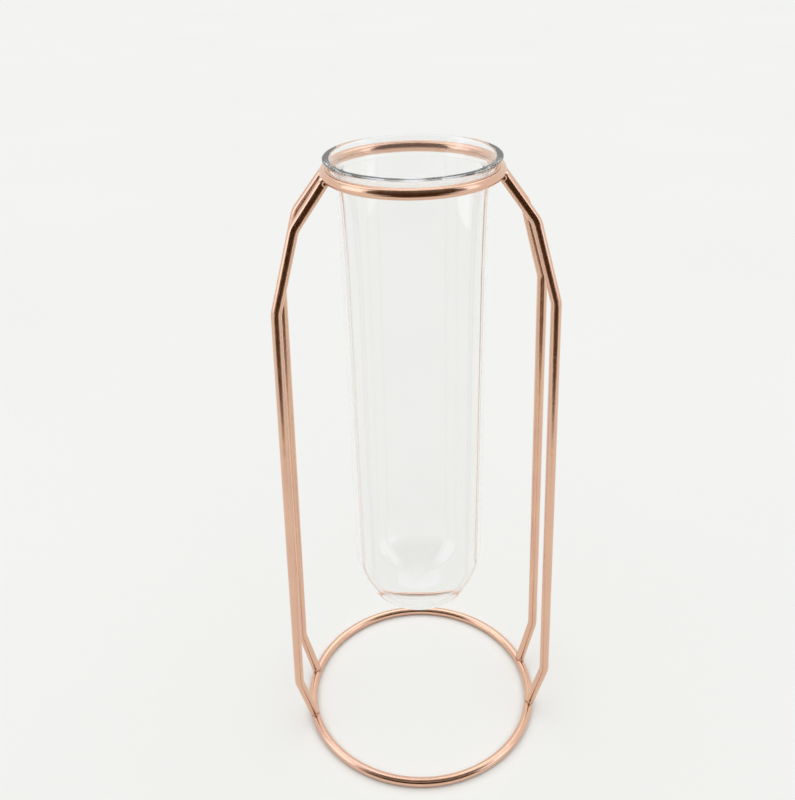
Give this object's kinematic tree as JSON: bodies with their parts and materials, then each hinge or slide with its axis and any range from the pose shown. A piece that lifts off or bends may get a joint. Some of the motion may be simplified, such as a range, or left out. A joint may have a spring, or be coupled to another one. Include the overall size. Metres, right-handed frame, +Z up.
{
  "type": "test tube vase",
  "caption": "Round-bottomed glass tube with a flared lip, hung by the lip in the top ring of a bent wire stand; holds a few stems.",
  "frame": {"origin": "on the table, under the middle of the base ring", "axes": "+Z up along the tube, towards its mouth; X from the left pair of legs to the right pair; -Y towards the viewer of the picture"},
  "size_m": [0.1154, 0.107, 0.2604],
  "materials": {
    "clear_glass": "gloss",
    "rose_gold_plate": "polished"
  },
  "bodies": {
    "stand": {"base_ring": "rose_gold_plate", "top_ring": "rose_gold_plate", "front_left_leg": "rose_gold_plate", "front_right_leg": "rose_gold_plate", "back_left_leg": "rose_gold_plate", "back_right_leg": "rose_gold_plate", "base_ring_weld_beads": "rose_gold_plate", "top_ring_weld_beads": "rose_gold_plate"},
    "tube": {"glass_tube": "clear_glass"}
  },
  "joints": [
    {"name": "tube_lift", "type": "slide", "parent": "stand", "child": "tube", "axis": [0, 0, 1], "range_m": [0, 0.205]}
  ]
}
